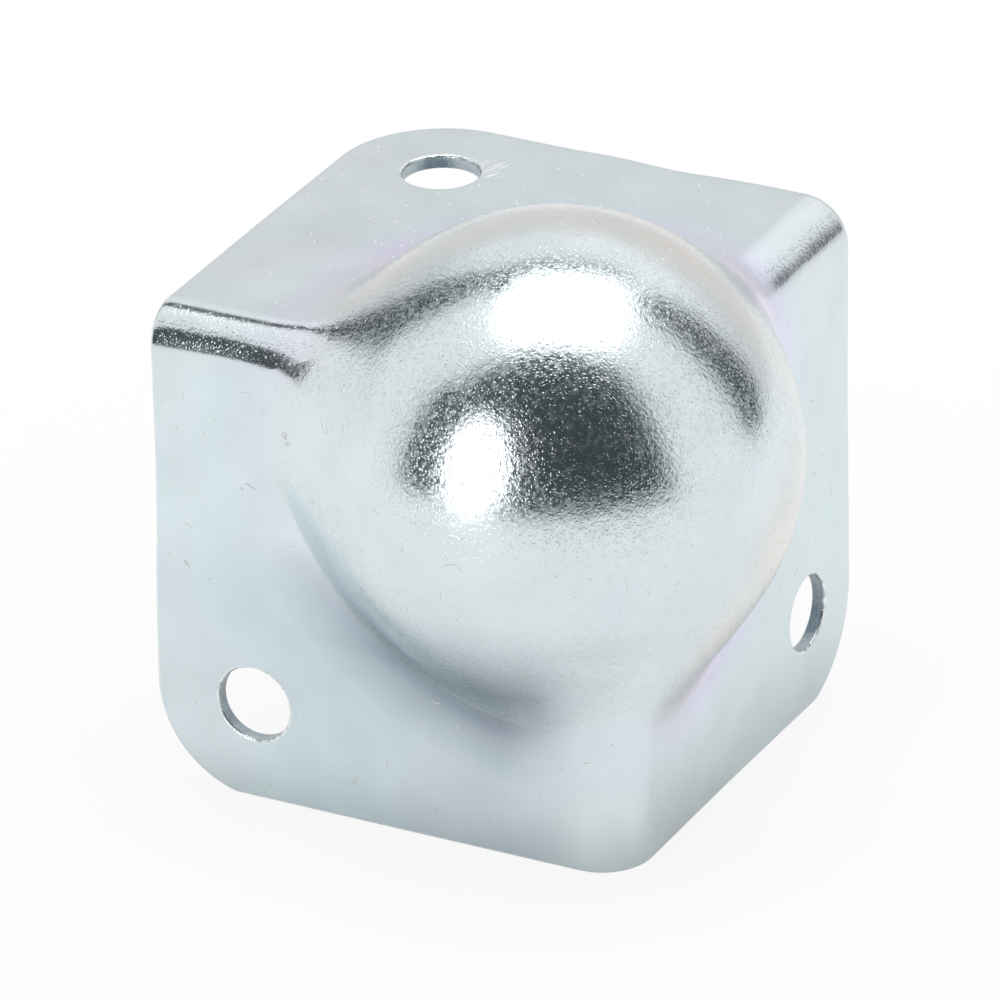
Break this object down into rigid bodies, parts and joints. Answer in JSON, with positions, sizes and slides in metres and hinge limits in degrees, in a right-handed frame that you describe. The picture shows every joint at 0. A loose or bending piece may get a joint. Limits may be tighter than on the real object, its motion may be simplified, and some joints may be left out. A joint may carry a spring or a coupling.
{
  "type": "flight case corner",
  "caption": "Pressed sheet steel ball corner for a flight case: flanges meet square round a raised ball, each with a round fixing hole, bright zinc plated.",
  "frame": {"origin": "corner point of the case that the part is fixed to, where the inner faces of the three flanges would meet", "axes": "+Z out of the top flange, -Y out of the front flange, +X out of the side flange"},
  "size_m": [0.0437, 0.0433, 0.0435],
  "materials": {
    "zinc_plated_steel": "bright zinc plate with blue-clear passivation, satin on the flanges, grainier on the ball"
  },
  "bodies": {
    "root": {"corner_shell": "zinc_plated_steel"}
  },
  "joints": []
}
